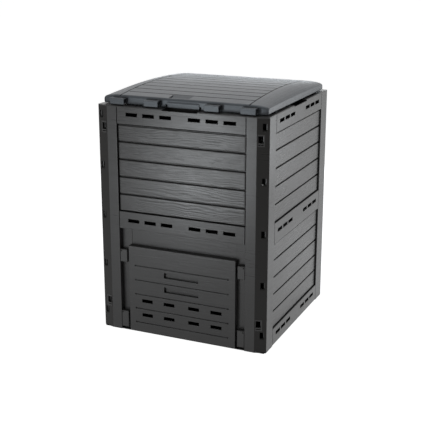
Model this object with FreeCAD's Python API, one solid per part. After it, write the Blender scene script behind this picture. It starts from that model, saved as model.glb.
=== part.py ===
import FreeCAD, Part
import math
import os

V = FreeCAD.Vector
Z_AXIS = V(0, 0, 1)

# Walls, in millimetres: a field of boards between two posts, then a bevelled flange
field_width = 456.0
stile_width = 34.5
frame_depth = 22.0
skin = 3.0
part_gap = 0.3

# Corner flanges of the front and back walls, bevelled back round the side walls
bevel_along = 37.5
bevel_back = 11.0
seat_leg_end = 2.5

# Boards and the vented strips between them
bottom_strip = 59.5
mid_strip = 69.0
door_strip = 59.3
top_strip = 58.5
board_pitch = 59.3
boards_per_bay = 5
board_groove = 5.0
board_recess = 8.0
board_raise = 5.0
board_edge = 1.5
board_end_gap = 2.5
strip_line = 2.6
strip_line_depth = 3.5
strip_end_wall = 6.0
strip_foot = 2.5
frame_edge = 1.5

# Vent slots of the strips: place of the first from the middle and pitch, for the front and the other walls
slot_length = 42.0
slot_height = 12.0
front_slots = (50.5, 61.0)
side_slots = (75.0, 51.0)
slots_per_side = 3
slot_lift = 4.5

# Ledge along the top of each wall, with a finger pocket in all but the back one
ledge_depth = 42.0
ledge_round = 2.8
pocket_length = 124.0
pocket_depth = 34.0
pocket_drop = 12.0
pocket_lip = 4.0
pocket_lip_drop = 4.5

# Slots down the corner flanges
hook_slot_width = 13.9
hook_slot_height = 24.5
hook_slot_place = 25.0
hook_slot_first = 60.3
hook_slot_last = 31.7
hook_slots = 5
hook_lip = 2.5
hook_room = 16.0

# Corner locks, one near each end of every corner
lock_place = 13.1
lock_from_ground = 97.0
lock_from_top = 73.0
lock_width = 20.0
lock_lip = 2.2
lock_height = 38.4
lock_head = 0.9
lock_stem_width = 19.6
lock_stem_height = 32.0
lock_wall = 1.2
lock_bar = 4.0
lock_bar_rise = 2.8
lock_barb = 1.2
lock_fit = 0.2

# Door, its place in the front wall and the opening behind it
door_top = 307.0
door_foot = 3.2
door_skin = 4.0
door_side_gap = 6.5
door_lift = 48.0
floor_depth = 19.0
opening_margin = 17.0
opening_low = 16.0
sill_height = 2.6
sill_front = 2.0
bay_panel_half = 190.5
bay_panel_margin = 4.0
bay_panel_depth = 1.2

# Door boards, grips and vents
door_groove_low = 36.0
door_groove_pitch = 51.0
door_grooves = 5
door_groove_margin = 25.5
door_groove_width = 3.6
door_groove_depth = 2.6
door_dot = 6.4
grip_length = 126.0
grip_height = 19.0
grip_depth = 9.0
grip_drop = 11.5
door_slot_length = 40.0
door_slot_first = 45.5
door_slot_pitch = 81.5
door_slots_per_side = 2
door_slot_lift = 3.5

# Keepers beside the door, and the door's tabs behind them
keeper_width = 26.5
lower_keeper_rise = 10.0
lower_keeper_height = 58.0
upper_keeper_drop = 16.0
upper_keeper_height = 44.3
keeper_bevel = 1.6
keeper_face = 0.6
keeper_gap = 0.6
keeper_dot = 5.0
tab_thick = 3.0
tab_end_gap = 6.0
tab_clear = 1.5
tab_inset = 7.0
tang_height = 14.0
tang_depth = 6.0
tang_reach = 6.0

# Lid: an arched top with sloping ends and an upright rim
lid_front_inset = 29.0
lid_side_inset = 11.5
lid_end_inset = 3.0
lid_gap = 3.0
rim_height = 28.0
crown_rise = 15.0
end_rim_drop = 10.5
end_sections = 6
end_chamfer = 3.0
corner_line = 2.2
corner_line_place = 284.2
corner_line_height = 19.0
shoulder = 8.0
lid_skin = 4.5
lid_boards = 11
lid_board_pitch = 49.0
lid_groove_width = 4.5
lid_groove_depth = 2.2
seam_width = 3.4
seam_depth = 2.8

# Lid grip in the middle of the front rim, and the thumb recess above it
lip_length = 112.0
lip_reach = 1.5
lip_height = 19.0
lip_foot = 5.0
lip_notch = 7.0
lip_notch_height = 9.0
thumb_length = 72.0
thumb_width = 36.0
thumb_inset = 10.0
thumb_place = -20.0
thumb_depth = 8.0
thumb_wall = 3.0

# Clips on the front rim and hinge barrels on the back rim
clip_inner = 106.0
clip_outer = 229.0
clip_length = 51.0
clip_depth = 21.0
clip_height = 19.5
clip_slot = 14.0
clip_edge = 1.5
hinge_offset = 10.5
hinge_gap = 3.5
barrel_radius = 9.5
pin_radius = 4.0
pin_fit = 0.1
ear_fit = 0.05
ear_thick = 4.0
ear_radius = 9.0
ear_gap = 0.4
pin_head_radius = 6.0
pin_head = 2.5
rod_radius = 4.5
rod_length = 39.0
rod_web = 3.0
open_angle = 105.0
stop_rise = 4.0
stop_reach = 16.5
stop_length = 48.0

# Plan sizes worked out from the ones above
field_half = field_width / 2
stile_edge = field_half + stile_width
half = stile_edge + bevel_along
side_edge = half - bevel_back
plate_depth = board_recess + board_raise
bevel_length = math.hypot(bevel_along, bevel_back)
bevel_angle = math.degrees(math.atan2(bevel_back, bevel_along))
door_half = field_half - keeper_width - door_side_gap
lid_half_depth = half - lid_front_inset
lid_half_width = half - lid_side_inset
axis_y = lid_half_depth + hinge_offset
clip_places = (-clip_outer, -clip_inner, clip_inner, clip_outer)

# Heights worked out from the ones above
bay_height = boards_per_bay * board_pitch
mid_low = bottom_strip + bay_height
mid_high = mid_low + mid_strip
top_low = mid_high + bay_height
wall_height = top_low + top_strip
door_strip_low = mid_high - door_strip
lower_keeper = (lower_keeper_rise, lower_keeper_rise + lower_keeper_height)
upper_keeper = (door_top - upper_keeper_drop - upper_keeper_height, door_top - upper_keeper_drop)
lock_heights = (lock_from_ground, wall_height - lock_from_top)
lid_bottom = wall_height + lid_gap
rim_top = lid_bottom + rim_height
crown = rim_top + crown_rise
end_rim_top = rim_top - end_rim_drop
hinge_height = wall_height + hinge_gap + barrel_radius


def box(x0, x1, d0, d1, z0, z1):
    """A box against the front wall's outer face, d being the depth behind that face."""
    return Part.makeBox(x1 - x0, d1 - d0, z1 - z0, V(x0, d0 - half, z0))


def prism(points, z0, z1):
    """An upright prism over a plan outline of (x, y) points."""
    wire = Part.makePolygon([V(x, y, z0) for x, y in points + points[:1]])
    return Part.Face(wire).extrude(V(0, 0, z1 - z0))


def bar(points, x0, x1):
    """A bar along X over an outline of (y, z) points."""
    wire = Part.makePolygon([V(x0, y, z) for y, z in points + points[:1]])
    return Part.Face(wire).extrude(V(x1 - x0, 0, 0))


def rod(radius, x0, x1, y, z):
    """A round rod along X."""
    return Part.makeCylinder(radius, x1 - x0, V(x0, y, z), V(1, 0, 0))


def fuse(shapes):
    """One clean solid from overlapping shapes."""
    return shapes[0].fuse(list(shapes[1:])).removeSplitter()


def rounded_box(x0, x1, d0, d1, z0, z1, radius, sides):
    """A box against the front wall whose front edges on the named sides are rounded."""
    body = box(x0, x1, d0, d1, z0, z1)
    places = {"left": V(x0, 0, 0), "right": V(x1, 0, 0), "low": V(0, 0, z0), "high": V(0, 0, z1)}
    edges = []
    for edge in body.Edges:
        middle = edge.CenterOfMass
        if abs(middle.y + half - d0) > 0.01:
            continue
        for side in sides:
            place = places[side]
            gap = middle.x - place.x if side in ("left", "right") else middle.z - place.z
            if abs(gap) < 0.01:
                edges.append(edge)
    return body.makeFillet(radius, edges)


def mirrored(shape):
    """The same shape on the other side of the plane x = 0."""
    return shape.mirror(V(0, 0, 0), V(1, 0, 0))


def turned(shape, degrees):
    """The shape turned about the bin's upright axis."""
    copy = shape.copy()
    copy.rotate(V(0, 0, 0), Z_AXIS, degrees)
    return copy


# Corner flange and its seat

def on_flange(u0, u1, w0, w1, z0, z1):
    """A box on the right-hand front flange: u runs along it from the stile, w goes inward."""
    piece = Part.makeBox(u1 - u0, w1 - w0, z1 - z0, V(u0, w0, z0))
    piece.rotate(V(0, 0, 0), Z_AXIS, bevel_angle)
    piece.translate(V(stile_edge, -half, 0))
    return piece


def flange_point(u, w):
    """Plan point on the flange at distance u from the stile and depth w."""
    turn = math.radians(bevel_angle)
    x = stile_edge + u * math.cos(turn) - w * math.sin(turn)
    y = -half + u * math.sin(turn) + w * math.cos(turn)
    return (x, y)


def hook_levels():
    """Middle heights of the slots, evenly spaced between the lowest and the highest."""
    pitch = (wall_height - hook_slot_last - hook_slot_first) / (hook_slots - 1)
    return [hook_slot_first + i * pitch for i in range(hook_slots)]


def corner_flange():
    """The bevelled flange at the right of a front or back wall, with its slots."""
    outline = [(stile_edge, -half), (half, -side_edge), flange_point(bevel_length, skin)]
    outline += [flange_point(0, skin)]
    flange = prism(outline, 0, wall_height)
    reach = hook_slot_width / 2
    cuts = []
    for level in hook_levels():
        low = level - hook_slot_height / 2
        high = level + hook_slot_height / 2
        cuts.append(on_flange(hook_slot_place - reach, hook_slot_place + reach, -skin, 2 * skin, low, high))
    near_side = lock_place - lock_stem_width / 2 - lock_fit
    for level in lock_heights:
        cuts.append(lock_opening(level, near_side, -skin, 2 * skin))
    return flange.cut(cuts)


def lock_opening(level, u0, w0, w1):
    """Room for a corner lock's stem: a window in the flange, and a notch in the leg behind it."""
    u1 = lock_place + lock_stem_width / 2 + lock_fit
    z0 = level - lock_stem_height / 2 - lock_fit
    z1 = level + lock_stem_height / 2 + lock_fit
    return on_flange(u0, u1, w0, w1, z0, z1)


def seat_leg():
    """The side wall's edge behind that flange, with hook lips that enter the flange's slots."""
    near = skin + part_gap
    far = near + skin
    top = wall_height - skin - part_gap
    outline = [flange_point(bevel_length, near), flange_point(seat_leg_end, near)]
    outline += [flange_point(seat_leg_end, far), flange_point(bevel_length, far)]
    leg = prism(outline, 0, top)
    reach = hook_slot_width / 2
    cuts = []
    lips = []
    for level in hook_levels():
        low = level - hook_slot_height / 2
        high = level + hook_slot_height / 2
        cuts.append(on_flange(hook_slot_place - reach, hook_slot_place + reach, near - 1, far + 1, low, high))
        side = reach - lock_fit - part_gap
        lips.append(on_flange(hook_slot_place - side, hook_slot_place + side,
                              skin / 2, far, low + part_gap, low + hook_lip))
        lips.append(on_flange(hook_slot_place - side, hook_slot_place + side,
                              near, far, low - hook_lip, low + hook_lip))
    for level in lock_heights:
        cuts.append(lock_opening(level, 0, near - 1, far + 1))
    return fuse([leg.cut(cuts)] + lips)


def hook_rooms():
    """Openings in the side wall's post behind the flange's slots, for the hooks."""
    reach = hook_slot_width / 2 + part_gap
    start = 2 * skin + 2 * part_gap
    cuts = []
    for level in hook_levels():
        low = level - hook_slot_height / 2 - part_gap
        high = level + hook_slot_height / 2 + part_gap
        cuts.append(on_flange(hook_slot_place - reach, hook_slot_place + reach, start, hook_room, low, high))
    return cuts


# Walls

def levels_of_boards(first):
    """Low edges of the boards of one bay."""
    return [first + i * board_pitch for i in range(boards_per_bay)]


def boards(first):
    """The recessed boards of one bay, standing on their backing plate."""
    plate = box(-field_half - skin, field_half + skin, plate_depth, plate_depth + skin,
                first - skin, first + bay_height + skin)
    pieces = [plate]
    edge = board_groove / 2
    end = field_half - board_end_gap
    for low in levels_of_boards(first):
        pieces.append(rounded_box(-end, end, board_recess, plate_depth + 1,
                                  low + edge, low + board_pitch - edge,
                                  board_edge, ("left", "right", "low", "high")))
    return pieces


def strip(low, high, depth, slots, lift, rounded):
    """A hollow strip across the wall, open behind, its vents lifted above its middle and its named
    long edges rounded."""
    outer = rounded_box(-field_half - skin, field_half + skin, 0, depth, low, high, frame_edge, rounded)
    inner = field_half - strip_end_wall
    cuts = [box(-inner, inner, skin, depth + 1, low + skin, high - skin)]
    middle = (low + high) / 2 + lift
    first, pitch = slots
    for sign in (-1, 1):
        for i in range(slots_per_side):
            place = sign * (first + i * pitch)
            cuts.append(box(place - slot_length / 2, place + slot_length / 2, -1, skin + 1,
                            middle - slot_height / 2, middle + slot_height / 2))
        line = sign * (field_half - strip_line / 2)
        cuts.append(box(line - strip_line / 2, line + strip_line / 2,
                        -1, strip_line_depth, low - 1, high + 1))
    return outer.cut(cuts)


def full_wall_strips():
    """The three strips of a wall without a door."""
    depth = plate_depth + skin
    return [strip(strip_foot, bottom_strip, depth, side_slots, slot_lift, ("high",)),
            strip(mid_low, mid_high, depth, side_slots, slot_lift, ("low", "high")),
            strip(top_low, wall_height - skin, depth, side_slots, slot_lift, ("low",))]


def stile(outer_edge):
    """The hollow upright at the right of a wall, open behind."""
    post = rounded_box(field_half, outer_edge, 0, frame_depth, 0, wall_height - skin, frame_edge, ("left",))
    hollow = box(field_half + skin, outer_edge - skin, skin, frame_depth + 1, skin, wall_height - 2 * skin)
    return post.cut(hollow)


def rounded_top(shape):
    """The shape with its outer top edges, along the front and the bevels, rounded."""
    edges = []
    for edge in shape.Edges:
        middle = edge.CenterOfMass
        top = abs(middle.z - wall_height) < 0.01 and edge.Length > 2 * ledge_round
        outside = middle.y < -side_edge + 0.01
        if top and outside:
            edges.append(edge)
    return shape.makeFillet(ledge_round, edges)


def pocket():
    """The tub of a finger pocket under the ledge, and the cut that opens it."""
    reach = pocket_length / 2
    back = pocket_lip + pocket_depth
    low = wall_height - skin - pocket_drop
    tub = box(-reach - skin, reach + skin, pocket_lip - skin, back + skin, low - skin, wall_height - skin / 2)
    room = box(-reach, reach, pocket_lip, back, low, wall_height + 1)
    notch = box(-reach, reach, -1, pocket_lip + 1, wall_height - pocket_lip_drop, wall_height + 1)
    return tub, [room, notch]


def with_pocket(pieces, extra_cuts):
    """Join a wall's pieces, add its finger pocket, and open the pocket."""
    tub, cuts = pocket()
    return fuse(pieces + [tub]).cut(cuts + extra_cuts).removeSplitter()


def framed_ledge():
    """The ledge of a front or back wall, which also covers the corners."""
    outline = [(-half, -side_edge), (-stile_edge, -half), (stile_edge, -half), (half, -side_edge)]
    outline += [(half, ledge_depth - half), (-half, ledge_depth - half)]
    return rounded_top(prism(outline, wall_height - skin, wall_height))


def back_wall():
    """A full wall of ten boards and three strips with flanges at both corners."""
    pieces = boards(bottom_strip) + boards(mid_high) + full_wall_strips()
    for upright in (stile(stile_edge), corner_flange()):
        pieces += [upright, mirrored(upright)]
    return pieces


def hinge_ears():
    """The ears on the back wall's ledge that hold the hinge pins, and the opening stops."""
    pieces = []
    y = -axis_y
    foot = wall_height - skin / 2
    swing = math.radians(open_angle)
    lean = (barrel_radius + part_gap - stop_rise * math.cos(swing)) / math.sin(swing)
    inner = barrel_radius + part_gap
    knee = (inner * math.sin(swing) - inner) / -math.cos(swing)
    stop = [(-inner, foot - hinge_height), (-inner, -abs(knee)), (-lean, stop_rise)]
    stop += [(-stop_reach, stop_rise), (-stop_reach, foot - hinge_height)]
    outline = [(y + v, hinge_height + w) for v, w in stop]
    for place in clip_places:
        for sign in (-1, 1):
            near = place + sign * (clip_length / 2 + ear_gap)
            far = near + sign * ear_thick
            x0, x1 = min(near, far), max(near, far)
            head = rod(ear_radius, x0, x1, y, hinge_height)
            foot_box = Part.makeBox(x1 - x0, 2 * ear_radius, hinge_height - foot,
                                    V(x0, y - ear_radius, foot))
            hole = rod(pin_radius + ear_fit, x0 - 1, x1 + 1, y, hinge_height)
            pieces.append(head.fuse(foot_box).cut(hole))
        pieces.append(bar(outline, place - stop_length / 2, place + stop_length / 2))
    return pieces


def catch_rods():
    """The rods on the front wall's ledge that the lid's front clips drop over."""
    pieces = []
    foot = wall_height - skin / 2
    for place in clip_places:
        x0 = place - rod_length / 2
        web = Part.makeBox(rod_length, rod_web, hinge_height - foot, V(x0, -axis_y - rod_web / 2, foot))
        pieces += [web, rod(rod_radius, x0, x0 + rod_length, -axis_y, hinge_height)]
    return pieces


def make_back_panel():
    return turned(fuse(back_wall() + hinge_ears() + [framed_ledge()]), 180)


def door_bay():
    """The recessed floor below the middle strip, with the opening that the door covers and a
    slightly deeper panel above it."""
    floor = box(-field_half - skin, field_half + skin, floor_depth, frame_depth, 0, door_strip_low + skin)
    reach = door_half - opening_margin
    opening_top = door_top - opening_margin
    opening = box(-reach, reach, floor_depth - 1, frame_depth + 1, opening_low, opening_top)
    panel = box(-bay_panel_half, bay_panel_half, floor_depth - 1, floor_depth + bay_panel_depth,
                opening_top, door_strip_low - bay_panel_margin)
    sill = box(-field_half - 1, field_half + 1, sill_front, floor_depth + 1, 0, sill_height)
    return [floor.cut([opening, panel]), sill]


def tang_slots():
    """Slots in the stiles' inner sides for the keepers' tangs."""
    cuts = []
    for low, high in (lower_keeper, upper_keeper):
        middle = (low + high) / 2
        slot = box(field_half - 1, field_half + skin + 1,
                   tang_front() - lock_fit, tang_front() + tang_depth + lock_fit,
                   middle - tang_height / 2 - lock_fit, middle + tang_height / 2 + lock_fit)
        cuts += [slot, mirrored(slot)]
    return cuts


def tang_front():
    """Depth of the front of a keeper's tang."""
    return (keeper_face + keeper_back()) / 2 - tang_depth / 2


def keeper_back():
    """Depth of the back of a keeper, just in front of the door's tabs."""
    return floor_depth - part_gap - tab_thick - keeper_gap


def make_front_panel():
    pieces = boards(mid_high) + door_bay()
    pieces += [strip(door_strip_low, mid_high, frame_depth, front_slots, 0, ("low", "high"))]
    pieces += [strip(top_low, wall_height - skin, plate_depth + skin, front_slots, slot_lift, ("low",))]
    for upright in (stile(stile_edge), corner_flange()):
        pieces += [upright, mirrored(upright)]
    return with_pocket(pieces + catch_rods() + [framed_ledge()], tang_slots())


def make_side_panel(degrees):
    """A side wall, whose edges seat behind the flanges of the front and back walls."""
    edge = side_edge - skin - part_gap
    reach = half - ledge_depth - part_gap
    pieces = boards(bottom_strip) + boards(mid_high) + full_wall_strips()
    leg = turned(seat_leg(), -90)
    upright = stile(edge)
    pieces += [upright, mirrored(upright), leg, mirrored(leg)]
    ledge = box(-reach, reach, 0, ledge_depth, wall_height - skin, wall_height)
    clear = [box(x0, x1, -1, ledge_depth, wall_height - skin - part_gap, wall_height + 1)
             for x0, x1 in ((-half, -reach), (reach, half))]
    for room in hook_rooms():
        cut = turned(room, -90)
        clear += [cut, mirrored(cut)]
    return turned(with_pocket(pieces + [rounded_top(ledge)], clear), degrees)


# Door, its keepers and the corner locks

def groove_levels():
    """Heights of the grooves across the door, from the lowest."""
    return [door_groove_low + i * door_groove_pitch for i in range(door_grooves)]


def door_grip(top):
    """A shallow tub behind the door's face for the fingers, and the room inside it."""
    reach = grip_length / 2
    low = top - grip_height
    tub = box(-reach - skin, reach + skin, skin, grip_depth + skin, low - skin, top + skin)
    return tub, box(-reach, reach, -1, grip_depth, low, top)


def tab_heights():
    """Low and high edges of the door's tabs, which leave their keepers when it is lifted."""
    return [(high - door_lift + tab_clear, high - tab_inset) for low, high in (lower_keeper, upper_keeper)]


def make_door():
    back = floor_depth - part_gap
    tray = rounded_box(-door_half, door_half, 0, back, door_foot, door_top, frame_edge,
                       ("left", "right", "low", "high"))
    inside = door_half - skin
    hollow = box(-inside, inside, door_skin, back + 1, door_foot + skin, door_top - skin)
    pieces = [tray.cut(hollow)]
    levels = groove_levels()
    cuts = []
    for level in levels[-2:]:
        tub, room = door_grip(level - grip_drop)
        pieces.append(tub)
        cuts.append(room)
    for low, high in tab_heights():
        tab = box(door_half - 1, field_half - tab_end_gap, back - tab_thick, back, low, high)
        pieces += [tab, mirrored(tab)]
    groove_end = door_half - door_groove_margin
    for level in levels:
        cuts.append(box(-groove_end, groove_end, -1, door_groove_depth,
                        level - door_groove_width / 2, level + door_groove_width / 2))
        for x in (-groove_end, groove_end):
            cuts.append(Part.makeCylinder(door_dot / 2, door_skin, V(x, -half - 1, level), V(0, 1, 0)))
    for low in levels[:2]:
        middle = low + door_groove_pitch / 2 + door_slot_lift
        for i in range(door_slots_per_side):
            place = door_slot_first + i * door_slot_pitch
            slot = box(place - door_slot_length / 2, place + door_slot_length / 2, -1, door_skin + 1,
                       middle - slot_height / 2, middle + slot_height / 2)
            cuts += [slot, mirrored(slot)]
    return fuse(pieces).cut(cuts).removeSplitter()


def make_keeper(low, high):
    """The right-hand keeper between two heights, with its tang through the stile."""
    outer = field_half - part_gap
    inner = door_half + door_side_gap
    body = box(inner, outer, keeper_face, keeper_back(), low, high)
    front_edges = [edge for edge in body.Edges if abs(edge.CenterOfMass.y + half - keeper_face) < 0.01]
    body = body.makeChamfer(keeper_bevel, front_edges)
    middle = (low + high) / 2
    tang = box(outer - 1, outer + tang_reach, tang_front(), tang_front() + tang_depth,
               middle - tang_height / 2, middle + tang_height / 2)
    dot = Part.makeCylinder(keeper_dot / 2, 3.0, V(outer - keeper_dot, -half, high - keeper_dot), V(0, 1, 0))
    return body.fuse(tang).cut(dot)


def make_corner_lock(level):
    """The lock of the right-hand front corner: an open frame with a bar across, a stem and two barbs."""
    near = 2 * skin + 2 * part_gap
    u0, u1 = lock_place - lock_width / 2, lock_place + lock_width / 2
    head = on_flange(u0, u1 + lock_lip, -lock_head, 0, level - lock_height / 2, level + lock_height / 2)
    stem = on_flange(lock_place - lock_stem_width / 2, lock_place + lock_stem_width / 2, -lock_head / 2,
                     near + lock_barb, level - lock_stem_height / 2, level + lock_stem_height / 2)
    barb = on_flange(lock_place - lock_stem_width / 2, lock_place + lock_stem_width / 2, near,
                     near + lock_barb, level - lock_stem_height / 2 - lock_barb,
                     level + lock_stem_height / 2 + lock_barb)
    side = lock_stem_width / 2 - lock_wall
    rise = lock_stem_height / 2 - lock_wall
    bar_low = level - rise + lock_bar_rise
    holes = [on_flange(lock_place - side, lock_place + side, -2 * lock_head, near + 2 * lock_barb, z0, z1)
             for z0, z1 in ((level - rise, bar_low), (bar_low + lock_bar, level + rise))]
    return fuse([head, stem, barb]).cut(holes)


# Lid and hinge pins

def arch_outline(x, depth, low, side, top, radius):
    """The lid's section at one x: upright rims, rounded shoulders and an arc over them."""
    rise = top - side
    big = (depth ** 2 + rise ** 2) / (2 * rise)
    middle = top - big
    turn_y = depth - radius
    turn_z = middle + math.sqrt((big - radius) ** 2 - turn_y ** 2)
    lean = math.atan2(turn_z - middle, turn_y)
    points = []
    for sign in (-1, 1):
        foot = V(x, sign * depth, low)
        rim = V(x, sign * depth, turn_z)
        bend = V(x, sign * (turn_y + radius * math.cos(lean / 2)), turn_z + radius * math.sin(lean / 2))
        crest = V(x, sign * (turn_y + radius * math.cos(lean)), turn_z + radius * math.sin(lean))
        points.append((foot, rim, bend, crest))
    (a, b, c, d), (h, g, f, e) = points
    shoulders = [Part.Arc(b, c, d).toShape(), Part.Arc(e, f, g).toShape()]
    arc = Part.Arc(d, V(x, 0, top), e).toShape()
    return Part.Wire([Part.makeLine(a, b), shoulders[0], arc, shoulders[1], Part.makeLine(g, h),
                      Part.makeLine(h, a)])


def end_outlines(inset, low):
    """Sections of the lid's right end: the arch sinks to the rim, more steeply towards the end."""
    outlines = []
    reach = lid_half_width - field_half - inset
    for i in range(end_sections + 1):
        share = math.sin(math.pi / 2 * i / end_sections)
        fall = 1 - math.sqrt(1 - 0.98 * share ** 2)
        side = rim_top - end_rim_drop * fall
        top = crown - (crown - end_rim_top - 1) * fall
        depth = lid_half_depth - lid_end_inset * share ** 8
        outlines.append(arch_outline(field_half + reach * share, depth - inset, low,
                                     side - inset, top - inset, shoulder - inset / 2))
    return outlines


def arched_block(inset, low):
    """The lid's outer form, or its hollow when it is inset by the skin."""
    outlines = end_outlines(inset, low)
    middle = Part.Face(outlines[0]).extrude(V(-field_width, 0, 0))
    end = Part.makeLoft(outlines, True, True)
    return fuse([middle, end, mirrored(end)])


def arch_height(y, drop):
    """Height of the middle arch at y, lowered by drop."""
    rise = crown - rim_top
    radius = (lid_half_depth ** 2 + rise ** 2) / (2 * rise)
    return crown - radius + math.sqrt(radius ** 2 - y ** 2) - drop


def lid_grooves():
    """Grooves between the lid's boards, and the curved seams at both ends of them."""
    cuts = []
    for i in range(1, lid_boards):
        y = (i - lid_boards / 2) * lid_board_pitch
        low = arch_height(y, lid_groove_depth)
        cuts.append(Part.makeBox(field_width, lid_groove_width, lid_skin * 3,
                                 V(-field_half, y - lid_groove_width / 2, low)))
    inner = field_half - seam_width
    under = arch_outline(inner, lid_half_depth + 1, lid_bottom,
                         rim_top - seam_depth, crown - seam_depth, shoulder)
    block = Part.makeBox(seam_width, 2 * lid_half_depth, crown - rim_top + shoulder,
                         V(inner, -lid_half_depth, rim_top - shoulder + 1))
    seam = block.cut(Part.Face(under).extrude(V(seam_width, 0, 0)))
    return cuts + [seam, mirrored(seam)]


def front_clip(place):
    """A block on the front rim, hollow below, that drops over a catch rod."""
    y0 = -lid_half_depth - clip_depth
    x0 = place - clip_length / 2
    low = wall_height + hinge_gap
    block = Part.makeBox(clip_length, clip_depth + 1, clip_height, V(x0, y0, low))
    front = [edge for edge in block.Edges if abs(edge.CenterOfMass.y - y0) < 0.01]
    block = block.makeFillet(clip_edge, front)
    slot_roof = rod(clip_slot / 2, x0 - 1, x0 + clip_length + 1, -axis_y, hinge_height)
    slot = Part.makeBox(clip_length + 2, clip_slot, hinge_height - lid_bottom + 1,
                        V(x0 - 1, -axis_y - clip_slot / 2, lid_bottom - 1))
    return block.cut([slot_roof, slot])


def back_barrel(place):
    """A hinge barrel on the back rim, bored for its pin."""
    x0 = place - clip_length / 2
    x1 = x0 + clip_length
    low = hinge_height - barrel_radius
    block = Part.makeBox(clip_length, hinge_offset + 1, 2 * barrel_radius, V(x0, lid_half_depth - 1, low))
    barrel = block.fuse(rod(barrel_radius, x0, x1, axis_y, hinge_height))
    return barrel.cut(rod(pin_radius + pin_fit, x0 - 1, x1 + 1, axis_y, hinge_height))


def grip_lip():
    """The swelling of the front rim over the front wall's finger pocket."""
    face = -lid_half_depth
    top = lid_bottom + lip_height
    outline = [(face + 1, top), (face, top), (face - lip_reach, top - lip_foot)]
    outline += [(face - lip_reach, lid_bottom), (face + 1, lid_bottom)]
    return bar(outline, -lip_length / 2, lip_length / 2)


def thumb_block(wall, top):
    """The form of the finger hollow behind the front rim, deepest at its front, reaching up to top
    above the lid's surface; with a wall it is the tub round that hollow."""
    front = thumb_inset - lid_half_depth - wall
    back = thumb_inset - lid_half_depth + thumb_width
    reach = thumb_length / 2 + wall
    outline = [(front, arch_height(front, thumb_depth + wall)), (back, arch_height(back, wall))]
    outline += [(back, arch_height(back, -top)), (front, arch_height(front, -top))]
    return bar(outline, thumb_place - reach, thumb_place + reach)


def end_chamfers():
    """Wedges cut from the low outer edges of the lid's ends."""
    edge, low = lid_half_width, lid_bottom
    outline = [(edge + 1, low - 1), (edge + 1, low + end_chamfer + 1), (edge - end_chamfer - 1, low - 1)]
    wedge = Part.Face(Part.makePolygon([V(x, -half, z) for x, z in outline + outline[:1]]))
    wedge = wedge.extrude(V(0, 2 * half, 0))
    return [wedge, mirrored(wedge)]


def make_lid():
    shell = arched_block(0, lid_bottom).cut(arched_block(lid_skin, lid_bottom - 1))
    shell = shell.fuse(thumb_block(thumb_wall, -1))
    cuts = lid_grooves() + end_chamfers() + [thumb_block(0, 2)]
    for sign in (-1, 1):
        x = sign * (lip_length + lip_notch) / 2
        cuts.append(Part.makeBox(lip_notch, 2 * lid_skin + 1, lip_notch_height + 1,
                                 V(x - lip_notch / 2, -lid_half_depth - 1, lid_bottom - 1)))
        line = sign * corner_line_place
        cuts.append(Part.makeBox(corner_line, seam_depth + 1, corner_line_height + 1,
                                 V(line - corner_line / 2, -lid_half_depth - 1, lid_bottom - 1)))
    pieces = [shell.cut(cuts), grip_lip()]
    for place in clip_places:
        pieces += [front_clip(place), back_barrel(place)]
    return fuse(pieces)


def make_hinge_pin(place):
    """A headed pin through one barrel and its two ears."""
    reach = clip_length / 2 + ear_gap + ear_thick + 1
    shaft = rod(pin_radius, place - reach, place + reach, axis_y, hinge_height)
    end = place + reach - 1
    head = rod(pin_head_radius, end + ear_fit, end + pin_head, axis_y, hinge_height)
    return shaft.fuse(head)


# All pieces, each in its own file

def all_pieces():
    """Every piece by its name."""
    pieces = {
        "front_panel": make_front_panel(),
        "back_panel": make_back_panel(),
        "right_panel": make_side_panel(90),
        "left_panel": make_side_panel(-90),
        "lid": make_lid(),
        "door": make_door(),
    }
    for name, (low, high) in (("upper", upper_keeper), ("lower", lower_keeper)):
        keeper = make_keeper(low, high)
        pieces["door_keeper_" + name + "_right"] = keeper
        pieces["door_keeper_" + name + "_left"] = mirrored(keeper)
    for name, level in zip(("lower", "upper"), lock_heights):
        lock = make_corner_lock(level)
        pieces["corner_lock_front_right_" + name] = lock
        pieces["corner_lock_front_left_" + name] = mirrored(lock)
        pieces["corner_lock_back_left_" + name] = turned(lock, 180)
        pieces["corner_lock_back_right_" + name] = turned(mirrored(lock), 180)
    for number, place in enumerate(clip_places, 1):
        pieces["hinge_pin_%d" % number] = make_hinge_pin(place)
    return pieces


os.makedirs("parts", exist_ok=True)
for node, solid in all_pieces().items():
    if len(solid.Solids) != 1 or not solid.isValid():
        print("check", node, "solids", len(solid.Solids), "valid", solid.isValid())
    solid.exportStep("parts/" + node + ".step")
    bounds = solid.BoundBox
    print("%-34s %8.1f cm3" % (node, solid.Volume / 1000),
          " x %.1f %.1f" % (bounds.XMin, bounds.XMax),
          " y %.1f %.1f" % (bounds.YMin, bounds.YMax),
          " z %.1f %.1f" % (bounds.ZMin, bounds.ZMax))
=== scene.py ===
import math

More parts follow.
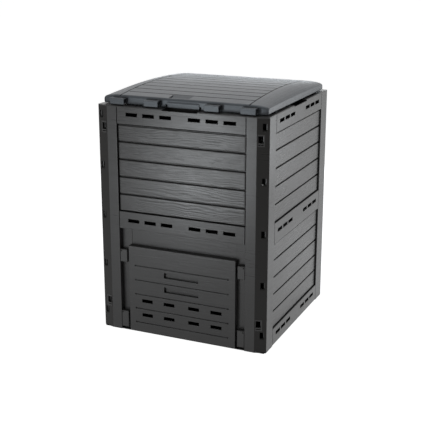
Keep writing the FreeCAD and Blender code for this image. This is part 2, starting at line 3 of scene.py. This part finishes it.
import bpy
import numpy as np
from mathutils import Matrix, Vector


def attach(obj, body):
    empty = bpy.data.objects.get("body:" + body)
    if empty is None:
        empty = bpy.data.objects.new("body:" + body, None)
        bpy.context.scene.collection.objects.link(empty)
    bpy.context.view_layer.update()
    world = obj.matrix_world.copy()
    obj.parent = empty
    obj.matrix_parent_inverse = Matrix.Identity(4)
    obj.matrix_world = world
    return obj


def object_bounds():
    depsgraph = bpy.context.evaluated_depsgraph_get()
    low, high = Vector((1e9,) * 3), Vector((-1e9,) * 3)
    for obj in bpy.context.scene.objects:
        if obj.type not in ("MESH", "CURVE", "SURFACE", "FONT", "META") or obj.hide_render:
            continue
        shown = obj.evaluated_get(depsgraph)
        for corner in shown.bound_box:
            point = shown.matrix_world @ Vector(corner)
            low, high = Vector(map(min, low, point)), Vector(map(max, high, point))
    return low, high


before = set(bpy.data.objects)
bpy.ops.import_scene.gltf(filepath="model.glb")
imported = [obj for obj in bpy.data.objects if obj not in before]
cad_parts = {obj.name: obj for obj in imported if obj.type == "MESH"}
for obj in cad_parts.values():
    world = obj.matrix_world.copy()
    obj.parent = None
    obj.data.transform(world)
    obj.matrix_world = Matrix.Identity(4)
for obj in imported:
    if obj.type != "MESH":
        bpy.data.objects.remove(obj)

cad_low, cad_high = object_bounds()

# The four wall mouldings: satin anthracite polypropylene, injection moulded as one panel
# each. They hook into each other at the corners. Edges have a small mould radius and the
# surface has the faint streaks and pores of a spark-eroded tool.

wall_edge_radius = 0.0012
anthracite = (0.021, 0.020, 0.020, 1.0)
anthracite_worn = (0.034, 0.033, 0.032, 1.0)
# Painted shade: in gaps, inner corners and on the corner flanges the plastic turns into this darker, less
# glossy copy.
painted_shade_tone = (0.012, 0.011, 0.010, 1.0)
painted_shade_specular = 0.2
wall_roughness = 0.30
wall_gloss = 0.38
untinted = (1.0, 1.0, 1.0, 1.0)
wall_shade_reach = 0.005
flange_start = (0.2627, 0.2889)
flange_top = 0.7768
refraction = 1.49
open_share = 0.8
crevice_slope = 4.0
pore_scale = (900.0, 900.0, 900.0)
patch_scale = (5.0, 5.0, 5.0)


class Signal:
    """A value that varies over a surface; arithmetic on it adds Math nodes to its finish."""

    def __init__(self, finish, socket):
        self.finish = finish
        self.socket = socket

    def math(self, operation, *others):
        """One Math node of this operation on this value and the others."""
        return self.finish.node("ShaderNodeMath", {"operation": operation}, [self, *others])

    def __add__(self, other):
        return self.math("ADD", other)

    __radd__ = __add__

    def __mul__(self, other):
        return self.math("MULTIPLY", other)

    __rmul__ = __mul__

    def __sub__(self, other):
        return self.math("SUBTRACT", other)

    def __rsub__(self, other):
        return self.math("MULTIPLY_ADD", -1.0, other)


class Finish:
    """The nodes of one material or world. node() makes every one of them."""

    def __init__(self, owner):
        owner.use_nodes = True
        self.owner = owner
        self.tree = owner.node_tree
        self.tree.nodes.clear()

    def node(self, kind, settings=None, inputs=(), output=0):
        """A node of that kind with its settings, fed by values or signals, listed or by name."""
        made = self.tree.nodes.new(kind)
        for key, value in (settings or {}).items():
            setattr(made, key, value)
        pairs = inputs.items() if isinstance(inputs, dict) else enumerate(inputs)
        for key, value in pairs:
            if isinstance(value, Signal):
                self.tree.links.new(value.socket, made.inputs[key])
            else:
                made.inputs[key].default_value = value
        return Signal(self, made.outputs[output]) if made.outputs else None

    def blend(self, first, second, factor):
        """The first colour where factor is 0 and the second where it is 1."""
        return self.node("ShaderNodeMix", {"data_type": "RGBA"}, {0: factor, 6: first, 7: second}, output=2)

    def place(self, scale):
        """Object coordinates, scaled along each axis."""
        spot = self.node("ShaderNodeTexCoord", output="Object")
        return self.node("ShaderNodeMapping", {}, {"Vector": spot, "Scale": scale})

    def noise(self, where, detail, roughness=0.5, distortion=0.0):
        """Fractal noise, about 0.5 in the middle."""
        return self.node("ShaderNodeTexNoise", {}, {"Vector": where, "Scale": 1.0, "Detail": detail,
                                                    "Roughness": roughness, "Distortion": distortion})

    def axis(self, name):
        """One object coordinate, X, Y or Z."""
        spot = self.node("ShaderNodeTexCoord", output="Object")
        return self.node("ShaderNodeSeparateXYZ", {}, [spot], output=name)

    def crevice_painted_shade(self, reach):
        """Painted shade: 1 in gaps and inner corners narrower than reach in metres, where shade falls,
        and less the more directions are clear, down to 0 where open_share of them are."""
        clear = self.node("ShaderNodeAmbientOcclusion", {"samples": 12}, {"Distance": reach}, output="AO")
        closed = open_share * crevice_slope - crevice_slope * clear
        return closed.math("MAXIMUM", 0.0).math("MINIMUM", 1.0)

    def seen_rays(self):
        """1 for the rays that see or mirror the background, 0 for those that light the object."""
        kinds = [self.node("ShaderNodeLightPath", output="Is %s Ray" % kind)
                 for kind in ("Camera", "Glossy", "Transmission")]
        return (kinds[0] + kinds[1] + kinds[2]).math("MINIMUM", 1.0)

    def plastic(self, colour, roughness, height, depth, edge_radius, painted_shade, gloss, tint):
        """Ends the finish as plastic with rounded edges: height is its relief, depth metres high,
        the painted shade mask is 1 where it turns into a darker, less glossy copy, painted shade in gaps
        and on the corner flanges, and its reflection has the strength gloss and that tint."""
        edges = self.node("ShaderNodeBevel", {"samples": 4}, {"Radius": edge_radius})
        bumped = self.node("ShaderNodeBump", {}, {"Strength": 1.0, "Distance": depth, "Height": height,
                                                  "Normal": edges})
        surface = {"Roughness": roughness, "Normal": bumped, "IOR": refraction}
        satin = self.node("ShaderNodeBsdfPrincipled", {}, {**surface, "Base Color": colour,
                                                           "Specular IOR Level": gloss,
                                                           "Specular Tint": tint})
        painted_shade_copy = self.node("ShaderNodeBsdfPrincipled", {}, {**surface, "Base Color": painted_shade_tone,
                                                          "Specular IOR Level": painted_shade_specular})
        mixed = self.node("ShaderNodeMixShader", {}, [painted_shade, satin, painted_shade_copy])
        self.node("ShaderNodeOutputMaterial", {}, {"Surface": mixed})
        return self.owner


def moulded_plastic(name, colours, streaks, depth, roughness, edge_radius, shade_reach, painted_shade=None,
                    gloss=wall_gloss, tint=untinted):
    """Satin plastic: streaks with their own scale on each axis and slow pale patches turn the first
    colour into the second. Streaks and fine pores are its relief, depth metres high. It has painted
    shade, a darker and less glossy copy, in gaps narrower than the shade reach, and where the painted
    shade mask is 1."""
    finish = Finish(bpy.data.materials.new(name))
    streak = finish.noise(finish.place(streaks), 7.0, 0.62, 0.15)
    pores = finish.noise(finish.place(pore_scale), 3.0, 0.6)
    patches = finish.noise(finish.place(patch_scale), 4.0, 0.55)
    colour = finish.blend(colours[0], colours[1], streak * 0.7 + patches * 0.5 - 0.1)
    matt = roughness + (streak - 0.5) * 0.16 + (patches - 0.5) * 0.14
    height = streak * 0.85 + pores * 0.12
    painted_shade_mask = finish.crevice_painted_shade(shade_reach)
    if painted_shade:
        painted_shade_mask = painted_shade_mask.math("MAXIMUM", painted_shade(finish))
    return finish.plastic(colour, matt, height, depth, edge_radius, painted_shade_mask, gloss, tint)


def painted_flange_shade(finish):
    """Painted shade mask: 1 on the bevelled corner flanges, below the ledge, and 0 elsewhere."""
    across = finish.axis("X").math("ABSOLUTE").math("GREATER_THAN", flange_start[0])
    deep = finish.axis("Y").math("ABSOLUTE").math("GREATER_THAN", flange_start[1])
    below = finish.axis("Z").math("LESS_THAN", flange_top)
    return across * deep * below


# The wall plastic gets painted shade in gaps and inner corners and, through the flange mask, on the bevelled
# corner flanges below the ledge.
wall_plastic = moulded_plastic("wall_plastic", (anthracite, anthracite_worn), (12.0, 12.0, 150.0), 0.00035,
                               wall_roughness, wall_edge_radius, wall_shade_reach, painted_flange_shade)
for side in ("front", "back", "left", "right"):
    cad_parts[side + "_panel"].material_slots[0].material = wall_plastic


def new_piece(name, mesh, material, body):
    """A finished object at the origin that rides on a body and wears one material."""
    mesh.materials.append(material)
    piece = bpy.data.objects.new(name, mesh)
    bpy.context.scene.collection.objects.link(piece)
    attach(piece, body)


# The boards of the walls: raised faces in the same moulding, 54.5 mm high with rounded
# edges and a moulded wood grain. The front wall has one bay of five, the others two. The
# top one of a bay ends lower, so that a wider groove shows under the vented strip.

board_pitch = 0.0593
board_count = 5
board_length = 0.4512
board_height = 0.0545
board_face = 0.0048
top_groove_extra = 0.003
board_foot = 0.0104
board_radius = 0.0024
board_edge_blend = 0.0004
board_roughness = 0.29
board_shade_reach = 0.003
board_cell = (0.004, 0.0016)
edge_steps = 5
lattice_size = (97, 89)
grain_relief = 0.00045
grain_pitch = 0.0078
slow_bend = 3.0
slow_bend_cell = (0.14, 0.03)
quick_bend_cell = (0.04, 0.02)
fibre_cell = (0.035, 0.0024)
seeds_per_board = 3
seeds_per_wall = 100
sharp_degrees = 50
upper_bay_low = 0.425
lower_bay_low = 0.0595
half_width = cad_high.x

# The boards get painted shade, a darker and less glossy copy, in the grooves and gaps between them.
board_plastic = moulded_plastic("board_plastic", (anthracite, anthracite_worn), (9.0, 9.0, 260.0), 0.0005,
                                board_roughness, board_edge_blend, board_shade_reach)


def smooth_noise(x, y, seed):
    """Random heights on a whole-number lattice, blended between its points by 3t^2 - 2t^3."""
    lattice = np.random.default_rng(seed).random(lattice_size)
    column, row = np.floor(x).astype(int), np.floor(y).astype(int)
    u, v = x - column, y - row
    u, v = u * u * (3 - 2 * u), v * v * (3 - 2 * v)
    corner = [lattice[(column + i) % lattice_size[0], (row + j) % lattice_size[1]]
              for i in (0, 1) for j in (0, 1)]
    low = corner[0] * (1 - v) + corner[1] * v
    high = corner[2] * (1 - v) + corner[3] * v
    return low * (1 - u) + high * u


def grain_height(along, across, seed):
    """Wood grain from 0 to 1: a sine across the board, shifted by a slow and a quicker noise, and
    mixed with noise of long thin cells."""
    bend = slow_bend * smooth_noise(along / slow_bend_cell[0], across / slow_bend_cell[1], seed)
    bend = bend + smooth_noise(along / quick_bend_cell[0], across / quick_bend_cell[1], seed + 1)
    ridges = 0.5 + 0.5 * np.sin(2 * np.pi * (across / grain_pitch + bend))
    fibres = smooth_noise(along / fibre_cell[0], across / fibre_cell[1], seed + 2)
    return 0.55 * ridges + 0.45 * fibres


def rounded_places(length, cell, radius):
    """Places along a face: even cells between its two rounded edges, and on each edge the places at
    even turns of its quarter circle."""
    turn = np.linspace(0, np.pi / 2, edge_steps)
    edge = radius * (1 - np.cos(turn))
    inner = np.linspace(radius, length - radius, max(2, int(length / cell)))
    return np.concatenate([edge[:-1], inner, (length - edge[:-1])[::-1]])


def edge_drop(place, length, radius):
    """How far a rounded edge has fallen away at each place of a face: the radius less the height of
    a quarter circle there."""
    reach = np.clip(radius - np.minimum(place, length - place), 0, radius)
    return radius - np.sqrt(radius ** 2 - reach ** 2)


def closed_sheet(points):
    """Quads over a grid of points (rows, columns, 3), closed behind by one face over its border."""
    rows, columns = points.shape[:2]
    index = np.arange(rows * columns).reshape(rows, columns)
    quads = np.stack([index[:-1, :-1], index[:-1, 1:], index[1:, 1:], index[1:, :-1]], axis=-1).reshape(-1, 4)
    border = np.concatenate([index[0, :-1], index[:-1, -1], index[-1, :0:-1], index[:0:-1, 0]])
    return points.reshape(-1, 3), quads.tolist(), border[::-1].tolist()


def board_surface(low, height, seed):
    """One board of the front wall, from the height low upwards. Its depth behind the wall's face is
    board_face, plus the fall of its rounded edges and the hollows of its grain; the outermost ring
    of points stands back on the wall at board_foot."""
    x = rounded_places(board_length, board_cell[0], board_radius)
    z = rounded_places(height, board_cell[1], board_radius)
    across, along = np.meshgrid(z, x, indexing="ij")
    drop = edge_drop(along, board_length, board_radius) + edge_drop(across, height, board_radius)
    relief = grain_relief * (1 - grain_height(along, across, seed)) * (1 - np.clip(drop / board_radius, 0, 1))
    depth = np.clip(board_face + drop + relief, 0, board_foot)
    depth = np.pad(depth, 1, constant_values=board_foot)
    along = np.pad(along, 1, mode="edge") - board_length / 2
    across = np.pad(across, 1, mode="edge") + low
    return np.stack([along, depth - half_width, across], axis=-1)


def bay_mesh(name, lows, quarter_turns, seed):
    """All boards of a wall's bays, turned about the upright axis to that wall."""
    vertices, faces, count = [], [], 0
    turn = quarter_turns * math.pi / 2
    spin = np.array([[math.cos(turn), -math.sin(turn), 0], [math.sin(turn), math.cos(turn), 0], [0, 0, 1]])
    for low in lows:
        for board in range(board_count):
            seed += seeds_per_board
            lower_edge = low + board * board_pitch + (board_pitch - board_height) / 2
            height = board_height - (top_groove_extra if board == board_count - 1 else 0)
            points, quads, back = closed_sheet(board_surface(lower_edge, height, seed))
            vertices.append(points @ spin.T)
            faces += [[corner + count for corner in face] for face in quads + [back]]
            count += len(points)
    mesh = bpy.data.meshes.new(name)
    mesh.from_pydata(np.concatenate(vertices), [], faces)
    mesh.shade_smooth()
    mesh.set_sharp_from_angle(angle=math.radians(sharp_degrees))
    return mesh


for side, quarter_turns in (("front", 0), ("right", 1), ("back", 2), ("left", 3)):
    lows = [upper_bay_low] if side == "front" else [lower_bay_low, upper_bay_low]
    mesh = bay_mesh(side + "_boards", lows, quarter_turns, seeds_per_wall * quarter_turns)
    new_piece(side + "_boards", mesh, board_plastic, "bin")

# The emptying door: a moulded tray with engraved board lines, two finger grips and eight
# vents. It stands on the sill and slides up until its tabs leave the keepers.

door_edge_radius = 0.0012
door_roughness = 0.32
door_shade_reach = 0.005
# The door gets painted shade, a darker and less glossy copy, in its grooves, grips and gaps.
door_plastic = moulded_plastic("door_plastic", (anthracite, anthracite_worn), (9.0, 9.0, 240.0), 0.0005,
                               door_roughness, door_edge_radius, door_shade_reach)
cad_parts["door"].material_slots[0].material = door_plastic

# The fittings: door keepers pressed into the posts beside the door, corner locks pushed
# through the flanges, and hinge pins. Small smooth mouldings of the same plastic.

fitting_edge_radius = 0.0005
fitting_roughness = 0.42
fitting_shade_reach = 0.004
# The fittings get painted shade, a darker and less glossy copy, in their gaps and inner corners.
fitting_plastic = moulded_plastic("fitting_plastic", (anthracite, anthracite_worn), (60.0, 60.0, 60.0),
                                  0.00015, fitting_roughness, fitting_edge_radius, fitting_shade_reach)
for node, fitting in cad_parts.items():
    if node.startswith(("door_keeper", "corner_lock", "hinge_pin")):
        fitting.material_slots[0].material = fitting_plastic

# The lid: one arched moulding in a slightly bluer grey, eleven boards across it and a
# sloping border at each end. Clips in front drop over rods, barrels behind turn on pins.

lid_edge_radius = 0.0008
lid_roughness = 0.36
lid_shade_reach = 0.004
lid_gloss = 0.45
slate = (0.050, 0.054, 0.061, 1.0)
slate_worn = (0.073, 0.079, 0.088, 1.0)
slate_sheen = (0.88, 0.95, 1.0, 1.0)
# The lid gets painted shade, a darker and less glossy copy, in its seams, recesses and gaps.
lid_plastic = moulded_plastic("lid_plastic", (slate, slate_worn), (9.0, 200.0, 200.0), 0.0005, lid_roughness,
                              lid_edge_radius, lid_shade_reach, gloss=lid_gloss, tint=slate_sheen)
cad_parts["lid"].material_slots[0].material = lid_plastic

# The studio: a white floor that keeps the bin's shadow and is painted dark brown, without glow,
# where the bin stands on it, as painted shade inside the bin; white all round, and five soft lamps:
# a tall one low in front, two at the right, a wide one behind and one above.

floor_reach = 30.0
floor_glow = 0.91
under_bin_shade_reach = 0.296
white = (1.0, 1.0, 1.0, 1.0)
paper_white = (0.8, 0.8, 0.8, 1.0)
under_bin_shade_colour = (0.01, 0.009, 0.008, 1.0)
floor_finish = Finish(bpy.data.materials.new("studio_floor"))
# Painted shade: where the bin stands, the floor is painted dark brown and does not glow, for the shade inside
# the bin.
within = [floor_finish.axis(axis).math("ABSOLUTE").math("LESS_THAN", under_bin_shade_reach) for axis in ("X", "Y")]
under_bin_shade = within[0] * within[1]
ground = floor_finish.blend(paper_white, under_bin_shade_colour, under_bin_shade)
paper = floor_finish.node("ShaderNodeBsdfDiffuse", {}, {"Color": ground})
glow = floor_finish.node("ShaderNodeEmission", {}, {"Color": white, "Strength": floor_glow})
lit = floor_finish.node("ShaderNodeAddShader", {}, [paper, glow])
surface = floor_finish.node("ShaderNodeMixShader", {}, [floor_finish.seen_rays() * (1.0 - under_bin_shade), paper, lit])
floor_finish.node("ShaderNodeOutputMaterial", {}, {"Surface": surface})

floor_mesh = bpy.data.meshes.new("studio_floor")
corners = [(x * floor_reach, y * floor_reach, 0.0) for x, y in ((-1, -1), (1, -1), (1, 1), (-1, 1))]
floor_mesh.from_pydata(corners, [], [(0, 1, 2, 3)])
floor_mesh.materials.append(floor_finish.owner)
floor = bpy.data.objects.new("studio_floor", floor_mesh)
bpy.context.scene.collection.objects.link(floor)

sky_fill = 0.12
sky = Finish(bpy.data.worlds.new("studio"))
bpy.context.scene.world = sky.owner
lighting = sky.node("ShaderNodeBackground", {}, {"Color": white, "Strength": sky_fill})
backdrop = sky.node("ShaderNodeBackground", {}, {"Color": white, "Strength": 1.0})
sky_surface = sky.node("ShaderNodeMixShader", {}, [sky.seen_rays(), lighting, backdrop])
sky.node("ShaderNodeOutputWorld", {}, {"Surface": sky_surface})


def softbox(name, place, aim, size, power, colour):
    """A soft lamp of that width and height in metres, looking from its place at its aim."""
    lamp = bpy.data.lights.new(name, "AREA")
    lamp.shape = "RECTANGLE"
    lamp.size, lamp.size_y = size
    lamp.energy = power
    lamp.color = colour
    stand = bpy.data.objects.new(name, lamp)
    stand.location = place
    stand.rotation_euler = (Vector(aim) - Vector(place)).to_track_quat("-Z", "Y").to_euler()
    stand.visible_camera = False
    bpy.context.scene.collection.objects.link(stand)


daylight = (0.93, 0.97, 1.0)
bluish_daylight = (0.84, 0.93, 1.0)
softbox("lamp_front", (-0.6, -1.8, 0.27), (0.0, -0.3, 0.5), (0.25, 0.5), 7.9, daylight)
softbox("lamp_side", (1.6, 0.6, 0.6), (0.3, 0.0, 0.5), (0.5, 0.6), 2.2, daylight)
softbox("lamp_near", (1.1, 1.05, 0.6), (0.3, -0.25, 0.6), (0.4, 0.8), 3.3, daylight)
softbox("lamp_back", (-0.8, 2.2, 0.55), (0.0, 0.0, 0.8), (1.2, 0.8), 8.0, bluish_daylight)
softbox("lamp_above", (0.0, 0.0, 2.6), (0.0, 0.0, 0.8), (1.2, 1.2), 10.0, daylight)

# The camera, where the photographer's stood.

camera_azimuth = math.radians(23.99)
camera_elevation = math.radians(16.45)
camera_distance = 3.3784
camera_aim = Vector((-0.0188, -0.0084, 0.3693))
camera_focal_pixels = 953.4
picture_pixels = 423.0

camera = bpy.data.cameras.new("camera")
camera.sensor_width = 36.0
camera.lens = camera.sensor_width * camera_focal_pixels / picture_pixels
camera.clip_start = 0.1
camera.clip_end = 200.0
away = Vector((math.sin(camera_azimuth) * math.cos(camera_elevation),
               -math.cos(camera_azimuth) * math.cos(camera_elevation),
               math.sin(camera_elevation)))
tripod = bpy.data.objects.new("camera", camera)
tripod.location = camera_aim + away * camera_distance
tripod.rotation_euler = (-away).to_track_quat("-Z", "Y").to_euler()
bpy.context.scene.collection.objects.link(tripod)
bpy.context.scene.camera = tripod
bpy.context.scene.view_settings.view_transform = "Standard"
